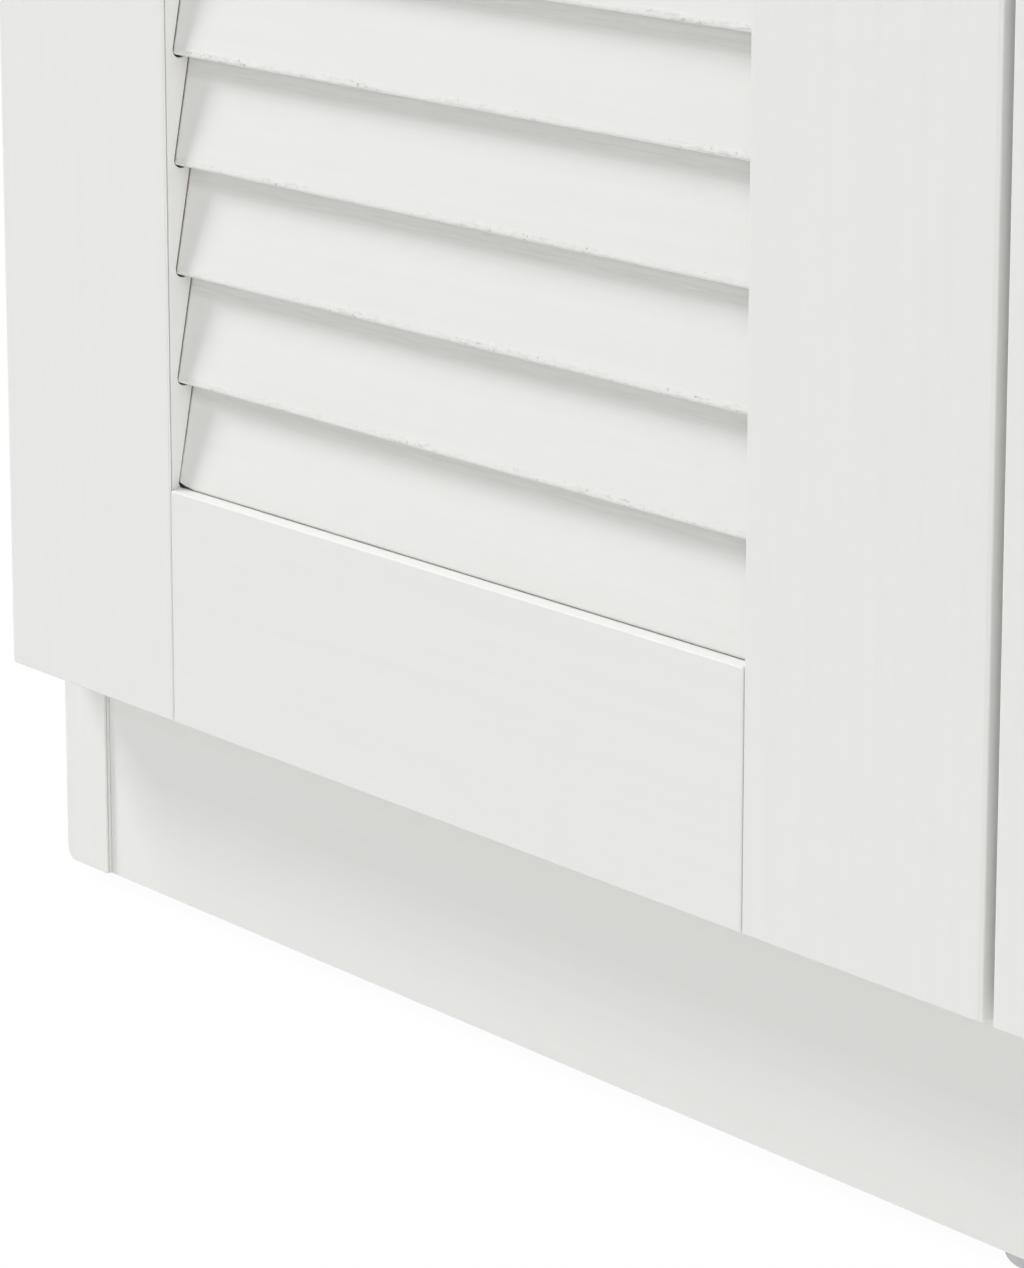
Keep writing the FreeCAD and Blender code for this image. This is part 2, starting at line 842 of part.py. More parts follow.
def shared_pieces():
    pieces = {
        "top_panel": [top_panel()],
        "bottom_panel": [bottom_panel()],
        "plinth_board": [plinth_board()],
        "back_panel": [back_panel()],
        "back_panel_screws": both_sides(side_back_screws()) + bottom_back_screws(),
        "carcass_dowels": both_sides(left_dowels()),
        "cam_housings": both_sides(left_cams()),
        "cam_bolts": both_sides(left_bolts()),
        "shelf_pins": both_sides(left_pins()),
        "catch_screws": both_sides(catch_screws()),
        "door_bumpers": both_sides([bumper()]),
        "side_glides": both_sides([glide(x, y) for x, y in side_glide_places()]),
        "plinth_glide": [glide(*plinth_glide_place())],
    }
    for name, level in zip(shelf_names, shelf_levels()):
        pieces[name] = [shelf(level)]
    return pieces


def save(name, solids):
    shape = solids[0] if len(solids) == 1 else Part.makeCompound(solids)
    shape.exportStep(os.path.join("parts", name + ".step"))


os.makedirs("parts", exist_ok=True)
for name, solids in shared_pieces().items():
    save(name, solids)
for name, solids in left_pieces().items():
    save("left_" + name, solids)
    save("right_" + name, [mirrored(solid) for solid in solids])
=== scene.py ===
import math

import bpy
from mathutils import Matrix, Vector


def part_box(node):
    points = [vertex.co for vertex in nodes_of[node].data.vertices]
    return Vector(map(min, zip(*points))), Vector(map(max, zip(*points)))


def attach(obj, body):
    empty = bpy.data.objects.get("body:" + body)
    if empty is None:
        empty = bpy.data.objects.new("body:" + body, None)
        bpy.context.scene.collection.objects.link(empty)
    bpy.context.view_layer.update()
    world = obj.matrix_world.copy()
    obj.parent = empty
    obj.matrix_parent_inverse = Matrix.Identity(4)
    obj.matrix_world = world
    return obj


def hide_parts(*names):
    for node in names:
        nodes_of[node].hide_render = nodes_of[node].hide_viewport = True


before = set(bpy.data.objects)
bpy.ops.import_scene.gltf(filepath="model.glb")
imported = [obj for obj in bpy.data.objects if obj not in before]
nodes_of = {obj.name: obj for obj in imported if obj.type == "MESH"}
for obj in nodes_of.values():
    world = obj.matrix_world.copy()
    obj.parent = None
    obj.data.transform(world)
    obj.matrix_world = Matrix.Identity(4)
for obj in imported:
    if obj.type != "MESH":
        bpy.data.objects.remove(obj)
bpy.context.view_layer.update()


# Carcass boards: two side panels, top, bottom and two loose shelves, held by dowels and cam fittings.
# Edge-glued pine, sanded and sprayed with white satin lacquer, so the grain only shows as faint ridges.
# The fibres run up the side panels and across the other boards.

lacquer_white = (0.815, 0.815, 0.797, 1.0)
lacquer_shade = (0.793, 0.792, 0.771, 1.0)
lacquer_roughness = (0.40, 0.52)
lacquer_ior = 1.47
fibre_stretch = {"X": (7.0, 260.0, 260.0), "Z": (260.0, 260.0, 7.0)}
fibre_detail = 5.0
fibre_roughness = 0.6
fibre_spread = (0.3, 0.62)
fibre_height = 0.00010
ridge_stretch = {"X": (1.6, 42.0, 42.0), "Z": (42.0, 42.0, 1.6)}
ridge_detail = 3.0
ridge_height = 0.00016
grain_strength = 0.5
mist_stretch = (1400.0, 1400.0, 1400.0)
mist_detail = 2.0
mist_height = 0.00004
mist_strength = 0.5
pinhole_stretch = (30.0, 30.0, 30.0)
pinhole_radius = 0.012
pinhole_grey = (0.55, 0.54, 0.51, 1.0)
panel_boldness = 1.0
board_boldness = 0.6
noise_spread = (0.3, 0.7)


def wired(tree, kind, inputs, **settings):
    node = tree.nodes.new(kind)
    for key, value in settings.items():
        setattr(node, key, value)
    for key, value in inputs.items():
        if isinstance(value, bpy.types.NodeSocket):
            tree.links.new(value, node.inputs[key])
        else:
            node.inputs[key].default_value = value
    return node


def fresh_finish(name):
    material = bpy.data.materials.new(name)
    material.use_nodes = True
    return material, material.node_tree, material.node_tree.nodes["Principled BSDF"]


def object_place(tree):
    return tree.nodes.new("ShaderNodeTexCoord").outputs["Object"]


def clouds(tree, stretch, detail, roughness=0.55):
    where = wired(tree, "ShaderNodeMapping", {"Vector": object_place(tree), "Scale": stretch})
    noise = {"Vector": where.outputs["Vector"], "Scale": 1.0, "Detail": detail, "Roughness": roughness}
    return wired(tree, "ShaderNodeTexNoise", noise).outputs["Fac"]


def ranged(tree, value, spread, result):
    limits = {"Value": value, "From Min": spread[0], "From Max": spread[1],
              "To Min": result[0], "To Max": result[1]}
    return wired(tree, "ShaderNodeMapRange", limits).outputs["Result"]


def worked(tree, operation, first, second):
    return wired(tree, "ShaderNodeMath", {0: first, 1: second}, operation=operation).outputs[0]


def toned(tree, share, low, high):
    mix = wired(tree, "ShaderNodeMix", {"Factor": share, "A": low, "B": high}, data_type="RGBA")
    return mix.outputs["Result"]


def raised(tree, height, distance, strength, under=None):
    relief = {"Height": height, "Distance": distance, "Strength": strength}
    if under is not None:
        relief["Normal"] = under
    return wired(tree, "ShaderNodeBump", relief).outputs["Normal"]


def laid_on(tree, surface, colour, roughness, relief):
    tree.links.new(colour, surface.inputs["Base Color"])
    tree.links.new(roughness, surface.inputs["Roughness"])
    tree.links.new(relief, surface.inputs["Normal"])


def lacquered_pine(name, run, boldness):
    material, tree, coat = fresh_finish(name)
    fibres = clouds(tree, fibre_stretch[run], fibre_detail, fibre_roughness)
    ridges = clouds(tree, ridge_stretch[run], ridge_detail)
    mist = clouds(tree, mist_stretch, mist_detail)
    where = wired(tree, "ShaderNodeMapping", {"Vector": object_place(tree), "Scale": pinhole_stretch})
    cells = wired(tree, "ShaderNodeTexVoronoi", {"Vector": where.outputs["Vector"], "Scale": 1.0})
    pinholes = worked(tree, "LESS_THAN", cells.outputs["Distance"], pinhole_radius)
    whiteness = ranged(tree, fibres, fibre_spread, (1.0 - boldness, 1.0))
    paint = toned(tree, whiteness, lacquer_shade, lacquer_white)
    paint = toned(tree, pinholes, paint, pinhole_grey)
    relief = raised(tree, ridges, ridge_height, grain_strength * boldness)
    relief = raised(tree, fibres, fibre_height, grain_strength * boldness, relief)
    relief = raised(tree, mist, mist_height, mist_strength, relief)
    laid_on(tree, coat, paint, ranged(tree, mist, noise_spread, lacquer_roughness), relief)
    coat.inputs["IOR"].default_value = lacquer_ior
    return material


def finish(material, *names):
    for name in names:
        slots = nodes_of[name].data.materials
        for place in range(len(slots)):
            slots[place] = material


panel_lacquer = lacquered_pine("panel_lacquer", "Z", panel_boldness)
level_lacquer = lacquered_pine("level_lacquer", "X", board_boldness)
finish(panel_lacquer, "left_side_panel", "right_side_panel")
finish(level_lacquer, "top_panel", "bottom_panel", "lower_shelf", "upper_shelf")


# Plinth: one board between the side panels, set back a little from their front edges.
# The same lacquered pine with its grain running across. Two dowels at each end hold it.

finish(level_lacquer, "plinth_board")


# Back panel: thin hardboard in the rabbets of the side panels and in a groove of the top.
# Its inner face has a white coat and the outer face is bare brown fibre. Small pan-head screws hold it.

coat_white = (0.80, 0.80, 0.78, 1.0)
coat_depth = 0.0004
fibre_brown = (0.37, 0.235, 0.135, 1.0)
fibre_dark = (0.26, 0.16, 0.09, 1.0)
fibre_tones = (0.3, 0.75)
fleck_stretch = (240.0, 240.0, 240.0)
fleck_detail = 6.0
fleck_roughness = 0.7
fleck_share = 0.82
fleck_height = 0.0001
fleck_strength = 0.5
patch_stretch = (14.0, 14.0, 14.0)
patch_detail = 3.0
hardboard_roughness = (0.5, 0.7)
rising = (0.0, 1.0)


def along_axis(tree, place, axis):
    return wired(tree, "ShaderNodeSeparateXYZ", {"Vector": place}).outputs[axis]


def hardboard(name):
    material, tree, board = fresh_finish(name)
    flecks = clouds(tree, fleck_stretch, fleck_detail, fleck_roughness)
    patches = clouds(tree, patch_stretch, patch_detail)
    mixed = worked(tree, "ADD", worked(tree, "MULTIPLY", flecks, fleck_share),
                   ranged(tree, patches, noise_spread, (0.0, 1.0 - fleck_share)))
    brown = toned(tree, ranged(tree, mixed, fibre_tones, rising), fibre_dark, fibre_brown)
    depth = along_axis(tree, object_place(tree), "Y")
    coated = worked(tree, "LESS_THAN", depth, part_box("back_panel")[0].y + coat_depth)
    laid_on(tree, board, toned(tree, coated, brown, coat_white),
            ranged(tree, flecks, noise_spread, hardboard_roughness),
            raised(tree, flecks, fleck_height, fleck_strength))
    return material


finish(hardboard("hardboard"), "back_panel")


# Fittings: cam housings, cam bolts, shelf pins, all screws, hinge leaves and pins, strike plates.
# Stamped or turned steel with a thin bright nickel plating that is slightly brushed.

nickel_bright = (0.66, 0.64, 0.60, 1.0)
nickel_dull = (0.52, 0.50, 0.47, 1.0)
nickel_roughness = (0.24, 0.36)
brush_stretch = (900.0, 900.0, 120.0)
brush_detail = 4.0
brush_height = 0.00002
faint_strength = 0.4
fitting_ends = ("screws", "screw", "leaf", "hinge_pin", "strike_plate")


def nickel_plate(name):
    material, tree, plate = fresh_finish(name)
    brush = clouds(tree, brush_stretch, brush_detail)
    laid_on(tree, plate, toned(tree, ranged(tree, brush, noise_spread, rising), nickel_dull, nickel_bright),
            ranged(tree, brush, noise_spread, nickel_roughness),
            raised(tree, brush, brush_height, faint_strength))
    plate.inputs["Metallic"].default_value = 1.0
    return material


fittings = [name for name in nodes_of if name.endswith(fitting_ends)]
finish(nickel_plate("nickel_plate"), "cam_housings", "cam_bolts", "shelf_pins", *fittings)


# Dowels of the carcass and door joints: turned beech pegs, glued in.
# They stay hidden in their holes, so only their bare wood colour matters.

beech_light = (0.60, 0.42, 0.25, 1.0)
beech_dark = (0.46, 0.30, 0.165, 1.0)
beech_roughness = (0.55, 0.7)
ray_stretch = (300.0, 900.0, 900.0)
ray_detail = 4.0
ray_height = 0.0001


def bare_beech(name):
    material, tree, peg = fresh_finish(name)
    rays = clouds(tree, ray_stretch, ray_detail)
    laid_on(tree, peg, toned(tree, ranged(tree, rays, noise_spread, rising), beech_dark, beech_light),
            ranged(tree, rays, noise_spread, beech_roughness),
            raised(tree, rays, ray_height, faint_strength))
    return material


finish(bare_beech("bare_beech"), "carcass_dowels", "left_door_dowels", "right_door_dowels")


# Floor glides: moulded grey plastic domes on a nail.
# They are driven into the feet of the side panels and the underside of the plinth.

glide_light = (0.56, 0.56, 0.575, 1.0)
glide_dark = (0.49, 0.49, 0.505, 1.0)
glide_roughness = (0.4, 0.55)
blotch_stretch = (160.0, 160.0, 160.0)
blotch_detail = 3.0
pore_stretch = (2600.0, 2600.0, 2600.0)
pore_detail = 2.0
pore_height = 0.00003


def moulded_plastic(name, dark, light, roughness):
    material, tree, shell = fresh_finish(name)
    blotches = clouds(tree, blotch_stretch, blotch_detail)
    pores = clouds(tree, pore_stretch, pore_detail)
    laid_on(tree, shell, toned(tree, ranged(tree, blotches, noise_spread, rising), dark, light),
            ranged(tree, pores, noise_spread, roughness),
            raised(tree, pores, pore_height, faint_strength))
    return material


glide_plastic = moulded_plastic("glide_plastic", glide_dark, glide_light, glide_roughness)
finish(glide_plastic, "side_glides", "plinth_glide")


# Door frames: two stiles and two rails each, dowelled together, with a fine dark line along each joint.
# Lacquered pine like the carcass; the fibres run up the stiles and across the rails.

upright_lacquer = lacquered_pine("upright_lacquer", "Z", board_boldness)
for side in ("left", "right"):
    finish(upright_lacquer, side + "_door_hinge_stile", side + "_door_meeting_stile")
    finish(level_lacquer, side + "_door_top_rail", side + "_door_bottom_rail")


# Louvre slats: 27 thin pine strips in each door, all leaning back, with their ends in grooves of the stiles.
# The sprayed coat is rough along their lower front edges and missing at the ends; a darker band with saw
# streaks is painted on each slat just below the edge of the slat above, as painted shade.
# The lowest slat sits on the rail with a clean edge and has a trimmed corner at its left end.

slat_count = 27
slat_pitch = 0.0287
lowest_slat_lift = 0.0008
slat_width = 0.034
slat_thickness = 0.004
slat_edge_radius = 0.0008
slat_edge_steps = 5
slat_lean = math.radians(10.2)
slat_setback = 0.003
slat_sill_gap = 0.00013
slat_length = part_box("left_door_slats")[1].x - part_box("left_door_slats")[0].x
slat_steps = 60
slat_lean_play = math.radians(0.12)
slat_unevenness = 0.00012
sway_scale = 45.0
sway_detail = 2.0
slat_seed = {"left": 3, "right": 8}
corner_lift = 0.0015
corner_reach = 0.0105
corner_fade = 3.0
falling = (1.0, 0.0)

own_grain_reach = 40.0
slat_fibre_stretch = (9.0, 300.0, 300.0)
slat_fibre_share = (0.3, 1.0)
slat_fibre_strength = 0.4
slat_ridge_stretch = (2.5, 70.0, 70.0)
slat_ridge_strength = 0.35
rail_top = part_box("left_door_bottom_rail")[1].z
clean_sill = (rail_top + 0.010, rail_top + 0.015)
clean_sill_share = (0.12, 1.0)
rough_edge = (0.00138, 0.0023)
run_stretch = (16.0, 0.0, 0.0)
run_detail = 2.0
run_spread = (0.42, 0.58)
run_share = (0.3, 1.0)
pit_stretch = (700.0, 1100.0, 1100.0)
pit_detail = 2.0
pit_spread = (0.61, 0.67)
pit_grey = (0.53, 0.52, 0.49, 1.0)
pit_depth = 0.0003
grit_stretch = (280.0, 1100.0, 1100.0)
grit_spread = (0.48, 0.64)
grit_height = 0.0005
speck_grey = (0.695, 0.69, 0.668, 1.0)
edge_strength = 0.6
coarse_detail = 3.0
coarse_roughness = 0.65
saw_stretch = (55.0, 1300.0, 1300.0)
saw_spread = (0.35, 0.65)
saw_share = (0.5, 1.0)
saw_zone = (0.019, 0.025)
saw_height = 0.0003
saw_strength = 0.5
# Painted shade: a darker, warmer band across each slat's front just below the edge of the slat above, where
# its shadow falls.
painted_shade_rise = (0.0222, 0.0244)
painted_shade_fall = (0.0258, 0.0280)
painted_lap_shade = (0.705, 0.699, 0.671, 1.0)
bare_end = (0.0063, 0.0070)
bare_end_wander = 0.0006
wander_stretch = (0.0, 420.0, 420.0)
wander_detail = 2.0
bare_brown = (0.33, 0.285, 0.225, 1.0)


def slat_finish(name):
    material, tree, coat = fresh_finish(name)
    spot = wired(tree, "ShaderNodeAttribute", {}, attribute_name="slat_place").outputs["Vector"]
    tint = wired(tree, "ShaderNodeAttribute", {}, attribute_name="slat_tone").outputs["Fac"]
    own_grain = worked(tree, "MULTIPLY", tint, own_grain_reach)

    def own_clouds(stretch, detail, roughness=0.55):
        where = wired(tree, "ShaderNodeMapping", {"Vector": spot, "Scale": stretch})
        noise = {"Vector": where.outputs["Vector"], "W": own_grain, "Scale": 1.0,
                 "Detail": detail, "Roughness": roughness}
        return wired(tree, "ShaderNodeTexNoise", noise, noise_dimensions="4D").outputs["Fac"]

    def both(first, second):
        return worked(tree, "MULTIPLY", first, second)

    along, behind, above = [along_axis(tree, spot, axis) for axis in "XYZ"]
    fibres = own_clouds(slat_fibre_stretch, fibre_detail, fibre_roughness)
    ridges = own_clouds(slat_ridge_stretch, ridge_detail)
    mist = own_clouds(mist_stretch, mist_detail)
    paint = toned(tree, ranged(tree, fibres, fibre_spread, slat_fibre_share), lacquer_shade, lacquer_white)

    saw_marks = own_clouds(saw_stretch, coarse_detail, coarse_roughness)
    # Painted shade band under the slat above, on the front face only, broken into streaks by the saw marks.
    in_front = worked(tree, "LESS_THAN", behind, slat_thickness / 2)
    painted_shade_band = both(ranged(tree, above, painted_shade_rise, rising), ranged(tree, above, painted_shade_fall, falling))
    streaked_painted_shade = both(both(painted_shade_band, in_front), ranged(tree, saw_marks, saw_spread, saw_share))
    paint = toned(tree, streaked_painted_shade, paint, painted_lap_shade)

    over_rail = ranged(tree, along_axis(tree, object_place(tree), "Z"), clean_sill, clean_sill_share)
    runs = ranged(tree, own_clouds(run_stretch, run_detail), run_spread, run_share)
    edge = both(runs, both(ranged(tree, above, rough_edge, falling), over_rail))
    grit = own_clouds(grit_stretch, coarse_detail, coarse_roughness)
    pitted = both(ranged(tree, own_clouds(pit_stretch, pit_detail), pit_spread, rising), edge)
    paint = toned(tree, both(ranged(tree, grit, grit_spread, rising), edge), paint, speck_grey)
    paint = toned(tree, pitted, paint, pit_grey)

    from_end = worked(tree, "MINIMUM", along, worked(tree, "SUBTRACT", slat_length, along))
    wander = both(own_clouds(wander_stretch, wander_detail), bare_end_wander)
    bare = ranged(tree, worked(tree, "ADD", from_end, wander), bare_end, falling)
    paint = toned(tree, bare, paint, bare_brown)

    relief = raised(tree, ridges, ridge_height, slat_ridge_strength)
    relief = raised(tree, fibres, fibre_height, slat_fibre_strength, relief)
    relief = raised(tree, both(pitted, -1.0), pit_depth, edge_strength, relief)
    relief = raised(tree, both(grit, edge), grit_height, edge_strength, relief)
    sawn = both(saw_marks, ranged(tree, above, saw_zone, rising))
    relief = raised(tree, sawn, saw_height, saw_strength, relief)
    relief = raised(tree, mist, mist_height, mist_strength, relief)
    laid_on(tree, coat, paint, ranged(tree, mist, noise_spread, lacquer_roughness), relief)
    coat.inputs["IOR"].default_value = lacquer_ior
    return material


def slat_tree():
    tree = bpy.data.node_groups.new("louvre_slats", "GeometryNodeTree")
    tree.is_modifier = True
    tree.interface.new_socket("Slats", in_out="OUTPUT", socket_type="NodeSocketGeometry")
    inputs = {"Count": "Int", "Pitch": "Float", "Length": "Float", "Width": "Float", "Thickness": "Float",
              "Edge Radius": "Float", "Lean": "Float", "Lean Play": "Float", "Unevenness": "Float",
              "First Corner": "Vector", "Lowest Lift": "Float", "Corner Lift": "Float",
              "Corner Reach": "Float", "Steps": "Int", "Seed": "Int", "Lacquer": "Material"}
    for name, kind in inputs.items():
        tree.interface.new_socket(name, in_out="INPUT", socket_type="NodeSocket" + kind)
    given = tree.nodes.new("NodeGroupInput").outputs

    def joined(**axes):
        return wired(tree, "ShaderNodeCombineXYZ", axes).outputs[0]

    def moved(geometry, offset, chosen=True):
        step = {"Geometry": geometry, "Selection": chosen, "Offset": offset}
        return wired(tree, "GeometryNodeSetPosition", step).outputs["Geometry"]

    def marked(geometry, name, value, **kind):
        mark = {"Geometry": geometry, "Name": name, "Value": value}
        return wired(tree, "GeometryNodeStoreNamedAttribute", mark, **kind).outputs["Geometry"]

    outline = wired(tree, "GeometryNodeCurvePrimitiveQuadrilateral",
                    {"Width": given["Thickness"], "Height": given["Width"]}, mode="RECTANGLE")
    eased = wired(tree, "GeometryNodeFilletCurve",
                  {"Curve": outline.outputs["Curve"], "Radius": given["Edge Radius"],
                   "Count": slat_edge_steps}, mode="POLY")
    run = wired(tree, "GeometryNodeCurvePrimitiveLine",
                {"Direction": (1.0, 0.0, 0.0), "Length": given["Length"]}, mode="DIRECTION")
    stepped = wired(tree, "GeometryNodeResampleCurve",
                    {"Curve": run.outputs["Curve"], "Count": given["Steps"]})
    upright = wired(tree, "GeometryNodeSetCurveNormal", {"Curve": stepped.outputs["Curve"]}, mode="Z_UP")
    strip = wired(tree, "GeometryNodeCurveToMesh",
                  {"Curve": upright.outputs["Curve"], "Profile Curve": eased.outputs["Curve"],
                   "Fill Caps": True})
    half = joined(Y=worked(tree, "MULTIPLY", given["Thickness"], 0.5),
                  Z=worked(tree, "MULTIPLY", given["Width"], 0.5))
    place = tree.nodes.new("GeometryNodeInputPosition").outputs["Position"]
    slat = marked(moved(strip.outputs["Mesh"], half), "slat_place", place,
                  data_type="FLOAT_VECTOR", domain="POINT")

    ladder = wired(tree, "GeometryNodeMeshLine",
                   {"Count": given["Count"], "Start Location": given["First Corner"],
                    "Offset": joined(Z=given["Pitch"])}, mode="OFFSET")
    index = tree.nodes.new("GeometryNodeInputIndex").outputs["Index"]
    drop = joined(Z=worked(tree, "MULTIPLY", given["Lowest Lift"], -1.0))
    spaced = moved(ladder.outputs["Mesh"], drop, worked(tree, "GREATER_THAN", index, 0.5))
    play = wired(tree, "FunctionNodeRandomValue", {"Min": -1.0, "Max": 1.0, "Seed": given["Seed"]})
    lean = wired(tree, "ShaderNodeMath",
                 {0: play.outputs["Value"], 1: given["Lean Play"], 2: given["Lean"]},
                 operation="MULTIPLY_ADD")
    turn = joined(X=worked(tree, "MULTIPLY", lean.outputs[0], -1.0))
    slats = wired(tree, "GeometryNodeInstanceOnPoints",
                  {"Points": spaced, "Instance": slat, "Rotation": turn})
    tint_seed = worked(tree, "ADD", given["Seed"], 1.0)
    tint = wired(tree, "FunctionNodeRandomValue", {"Min": 0.0, "Max": 1.0, "Seed": tint_seed})
    tinted = marked(slats.outputs["Instances"], "slat_tone", tint.outputs["Value"],
                    data_type="FLOAT", domain="INSTANCE")
    real = wired(tree, "GeometryNodeRealizeInstances", {"Geometry": tinted})

    half_way = wired(tree, "ShaderNodeVectorMath", {0: given["First Corner"], 1: half}, operation="ADD")
    lowest = worked(tree, "LESS_THAN", along_axis(tree, place, "Z"),
                    along_axis(tree, half_way.outputs[0], "Z"))
    own_place = wired(tree, "GeometryNodeInputNamedAttribute", {"Name": "slat_place"},
                      data_type="FLOAT_VECTOR")
    full_lift = worked(tree, "DIVIDE", given["Corner Reach"], corner_fade)
    share = ranged(tree, along_axis(tree, own_place.outputs["Attribute"], "X"),
                   (full_lift, given["Corner Reach"]), falling)
    lift = joined(Z=worked(tree, "MULTIPLY", share, given["Corner Lift"]))
    trimmed = moved(real.outputs["Geometry"], lift, lowest)

    sway = wired(tree, "ShaderNodeTexNoise",
                 {"Vector": place, "Scale": sway_scale, "Detail": sway_detail})
    shift = wired(tree, "ShaderNodeVectorMath",
                  {0: sway.outputs["Color"], 1: (0.5, 0.5, 0.5)}, operation="SUBTRACT")
    sized = wired(tree, "ShaderNodeVectorMath",
                  {0: shift.outputs[0], "Scale": given["Unevenness"]}, operation="SCALE")
    smooth = wired(tree, "GeometryNodeSetShadeSmooth", {"Geometry": moved(trimmed, sized.outputs[0])})
    coated = wired(tree, "GeometryNodeSetMaterial",
                   {"Geometry": smooth.outputs["Geometry"], "Material": given["Lacquer"]})
    wired(tree, "NodeGroupOutput", {"Slats": coated.outputs["Geometry"]})
    return tree


slat_lacquer = slat_finish("slat_lacquer")
slat_rule = slat_tree()
slat_sockets = {item.name: item.identifier for item in slat_rule.interface.items_tree
                if item.in_out == "INPUT"}
for side in ("left", "right"):
    slats_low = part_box(side + "_door_slats")[0]
    rail_low, rail_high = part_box(side + "_door_bottom_rail")
    first_corner = (slats_low.x, rail_low.y + slat_setback, rail_high.z + slat_sill_gap)
    louvre = bpy.data.objects.new(side + "_louvre_slats", bpy.data.meshes.new(side + "_louvre_slats"))
    bpy.context.scene.collection.objects.link(louvre)
    rule = louvre.modifiers.new("slats", "NODES")
    rule.node_group = slat_rule
    sizes = {"Count": slat_count, "Pitch": slat_pitch, "Length": slat_length, "Width": slat_width,
             "Thickness": slat_thickness, "Edge Radius": slat_edge_radius, "Lean": slat_lean,
             "Lean Play": slat_lean_play, "Unevenness": slat_unevenness, "First Corner": first_corner,
             "Lowest Lift": lowest_slat_lift, "Corner Lift": corner_lift, "Corner Reach": corner_reach,
             "Steps": slat_steps, "Seed": slat_seed[side], "Lacquer": slat_lacquer}
    for name, value in sizes.items():
        rule[slat_sockets[name]] = value
    even = louvre.modifiers.new("even_faces", "WEIGHTED_NORMAL")
    even.weight = 100
    depsgraph = bpy.context.evaluated_depsgraph_get()
    made = bpy.data.meshes.new_from_object(louvre.evaluated_get(depsgraph), preserve_all_data_layers=True,
                                           depsgraph=depsgraph)
    louvre.modifiers.clear()
    louvre.data = made
    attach(louvre, side + "_door")
    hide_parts(side + "_door_slats")


# Knobs: turned beech with the marks of the lathe round their axis, lacquered white with the doors.
# Each is screwed on from behind through the meeting stile.

lathe_pitch = 700.0
lathe_wobble = 1.5
ring_share = (0.4, 1.0)
ring_height = 0.00002
knob_mist_height = 0.00003
knob_roughness = (0.34, 0.44)
knob_low, knob_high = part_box("right_knob")
knob_middle = (knob_low + knob_high) / 2


def turned_lacquer(name):
    material, tree, coat = fresh_finish(name)
    mirrored = wired(tree, "ShaderNodeVectorMath", {0: object_place(tree)}, operation="ABSOLUTE")
    centred = wired(tree, "ShaderNodeVectorMath",
                    {0: mirrored.outputs[0], 1: (knob_middle.x, 0.0, knob_middle.z)}, operation="SUBTRACT")
    rings = wired(tree, "ShaderNodeTexWave",
                  {"Vector": centred.outputs[0], "Scale": lathe_pitch, "Distortion": lathe_wobble},
                  wave_type="RINGS", rings_direction="Y").outputs["Fac"]
    mist = clouds(tree, mist_stretch, mist_detail)
    relief = raised(tree, rings, ring_height, faint_strength)
    laid_on(tree, coat, toned(tree, ranged(tree, rings, rising, ring_share), lacquer_shade, lacquer_white),
            ranged(tree, mist, noise_spread, knob_roughness),
            raised(tree, mist, knob_mist_height, mist_strength, relief))
    coat.inputs["IOR"].default_value = lacquer_ior
    return material


finish(turned_lacquer("turned_lacquer"), "left_knob", "right_knob")


# Catches and bumpers: moulded white housings under the top, each round a dark ferrite magnet.
# Soft clear dots on the front edges of the carcass take the doors when they shut.

housing_dark = (0.74, 0.74, 0.72, 1.0)
housing_light = (0.80, 0.80, 0.78, 1.0)
housing_roughness = (0.35, 0.5)
ferrite_dark = (0.035, 0.035, 0.038, 1.0)
ferrite_light = (0.06, 0.06, 0.065, 1.0)
ferrite_roughness = (0.5, 0.65)
dot_dark = (0.60, 0.60, 0.58, 1.0)
dot_light = (0.68, 0.68, 0.65, 1.0)
dot_roughness = (0.25, 0.4)
finish(moulded_plastic("catch_plastic", housing_dark, housing_light, housing_roughness),
       "left_catch_housing", "right_catch_housing")
finish(moulded_plastic("ferrite", ferrite_dark, ferrite_light, ferrite_roughness),
       "left_catch_magnet", "right_catch_magnet")
finish(moulded_plastic("soft_dots", dot_dark, dot_light, dot_roughness), "door_bumpers")


# Studio: a plain white floor that keeps the cabinet's shadow, and a weak even sky.
# One large soft lamp stands high on the left, and two weaker ones stand low on the right.
# A lamp has its turn to the side and upwards in degrees, its distance, width and height, and its watts.

floor_half = 15.0
floor_albedo = (0.95, 0.95, 0.95, 1.0)
floor_roughness = 0.9
floor_white_share = 0.97
sky_white = (1.0, 1.0, 1.0, 1.0)
sky_level = 0.34
sky_white_share = 1.0
lamp_aim = Vector((-0.25, -0.17, 0.3))
lamps = {"high_left_lamp": (-66.0, 41.5, 5.5, 1.2, 2.3, 215.0),
         "low_right_lamp": (50.0, 7.0, 4.0, 2.8, 2.8, 45.0),
         "far_right_lamp": (83.0, 10.0, 4.0, 0.8, 2.0, 22.0)}


def white_to_eye(tree, share, lit, bright, end):
    path = tree.nodes.new("ShaderNodeLightPath")
    eye = worked(tree, "MAXIMUM", path.outputs["Is Camera Ray"], path.outputs["Is Glossy Ray"])
    eye = worked(tree, "MAXIMUM", eye, path.outputs["Is Transmission Ray"])
    blend = wired(tree, "ShaderNodeMixShader", {0: worked(tree, "MULTIPLY", eye, share), 1: lit, 2: bright})
    tree.links.new(blend.outputs["Shader"], tree.nodes[end].inputs["Surface"])


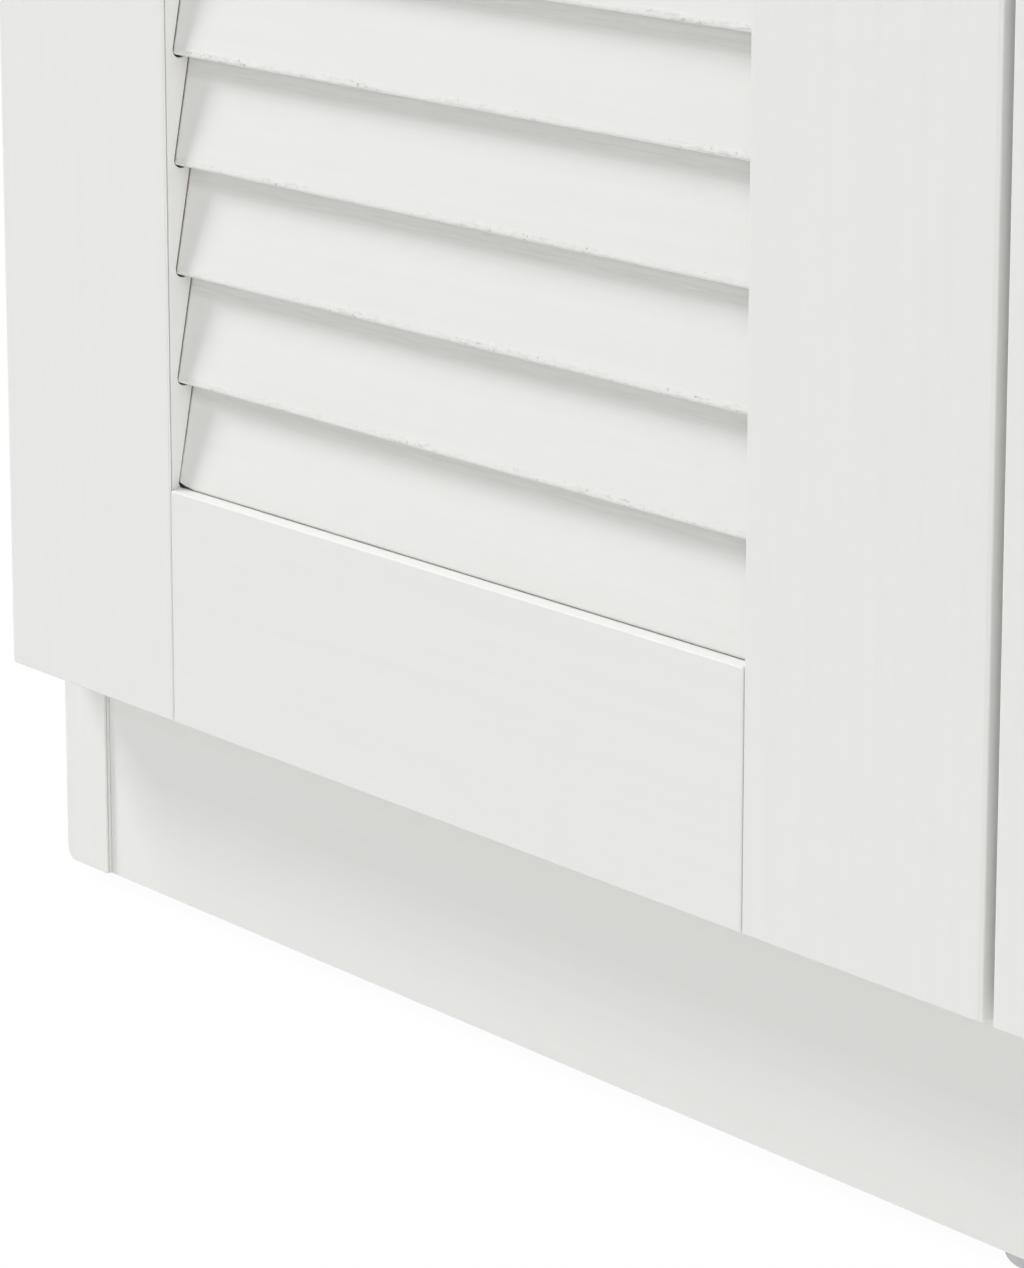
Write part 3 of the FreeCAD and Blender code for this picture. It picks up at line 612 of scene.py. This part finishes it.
floor_mesh = bpy.data.meshes.new("studio_floor")
floor_corners = [(-floor_half, -floor_half, 0), (floor_half, -floor_half, 0),
                 (floor_half, floor_half, 0), (-floor_half, floor_half, 0)]
floor_mesh.from_pydata(floor_corners, [], [(0, 1, 2, 3)])
floor = bpy.data.objects.new("studio_floor", floor_mesh)
bpy.context.scene.collection.objects.link(floor)
floor_white, tree, matt = fresh_finish("floor_white")
floor_mesh.materials.append(floor_white)
matt.inputs["Base Color"].default_value = floor_albedo
matt.inputs["Roughness"].default_value = floor_roughness
glow = wired(tree, "ShaderNodeEmission", {"Strength": 1.0})
white_to_eye(tree, floor_white_share, matt.outputs["BSDF"], glow.outputs["Emission"], "Material Output")

world = bpy.data.worlds.new("studio")
bpy.context.scene.world = world
world.use_nodes = True
tree = world.node_tree
sky = tree.nodes["Background"]
sky.inputs["Color"].default_value = sky_white
sky.inputs["Strength"].default_value = sky_level
bright = wired(tree, "ShaderNodeBackground", {"Color": sky_white, "Strength": 1.0})
white_to_eye(tree, sky_white_share, sky.outputs["Background"], bright.outputs["Background"], "World Output")

for name, (across, up, distance, width, height, watts) in lamps.items():
    light = bpy.data.lights.new(name, "AREA")
    light.shape = "RECTANGLE"
    light.size = width
    light.size_y = height
    light.energy = watts
    lamp = bpy.data.objects.new(name, light)
    bpy.context.scene.collection.objects.link(lamp)
    across, up = math.radians(across), math.radians(up)
    way = Vector((math.sin(across) * math.cos(up), -math.cos(across) * math.cos(up), math.sin(up)))
    lamp.location = lamp_aim + distance * way
    lamp.rotation_euler = (-way).to_track_quat("-Z", "Y").to_euler()


# Camera: to the right of the lower left corner and a little above it, looking left with a long lens.
# The small shift keeps the upright edges of the doors near to upright, as in the photograph.

camera_place = (0.7570, -0.8876, 0.4075)
camera_heading = 52.81
camera_tilt = 12.55
picture_height = 1268.0
focal_pixels = 5000.0
shift_pixels = -127.0
sensor_width = 36.0
nearest_seen = 0.05
farthest_seen = 100.0
camera_data = bpy.data.cameras.new("camera")
camera_data.sensor_width = sensor_width
camera_data.lens = sensor_width * focal_pixels / picture_height
camera_data.shift_y = shift_pixels / picture_height
camera_data.clip_start = nearest_seen
camera_data.clip_end = farthest_seen
camera = bpy.data.objects.new("camera", camera_data)
bpy.context.scene.collection.objects.link(camera)
camera.location = camera_place
camera.rotation_euler = (math.radians(90.0 - camera_tilt), 0.0, math.radians(camera_heading))
bpy.context.scene.camera = camera
bpy.context.scene.view_settings.view_transform = "Standard"
